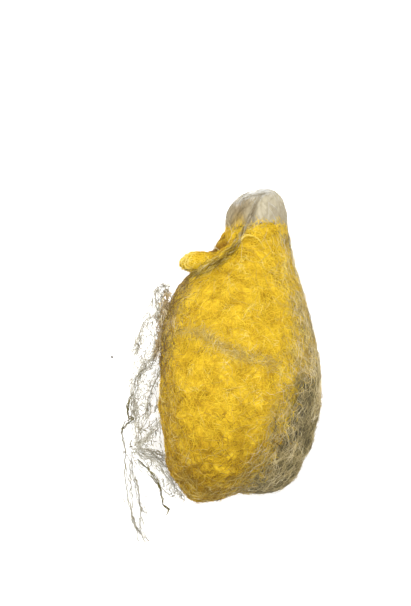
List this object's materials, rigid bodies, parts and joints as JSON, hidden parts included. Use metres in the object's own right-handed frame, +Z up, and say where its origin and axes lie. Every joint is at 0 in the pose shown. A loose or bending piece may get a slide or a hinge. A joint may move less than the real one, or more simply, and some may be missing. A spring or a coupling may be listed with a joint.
{
  "type": "silk cocoon",
  "caption": "Pear-shaped yellow silk cocoon with loose grey outer floss, a pale pouch at its narrow end and a net of scaffold threads on one flank.",
  "frame": {"origin": "middle of the small flat spot the cocoon lies on, under its centre of mass", "axes": "+Y along the cocoon towards the narrow, pouched end; +X towards the side with the deepest outer floss; +Z up"},
  "size_m": [0.0305, 0.0504, 0.0194],
  "materials": {
    "yellow_silk": "dense felted yellow silk with a soft sheen",
    "grey_floss": "loose matted beige and olive-grey silk fibres",
    "scaffold_silk": "thin pale grey threads with crumbs of dirt caught in them"
  },
  "bodies": {
    "root": {"inner_cocoon": "yellow_silk", "outer_floss": "grey_floss", "scaffold_net": "scaffold_silk"}
  },
  "joints": []
}
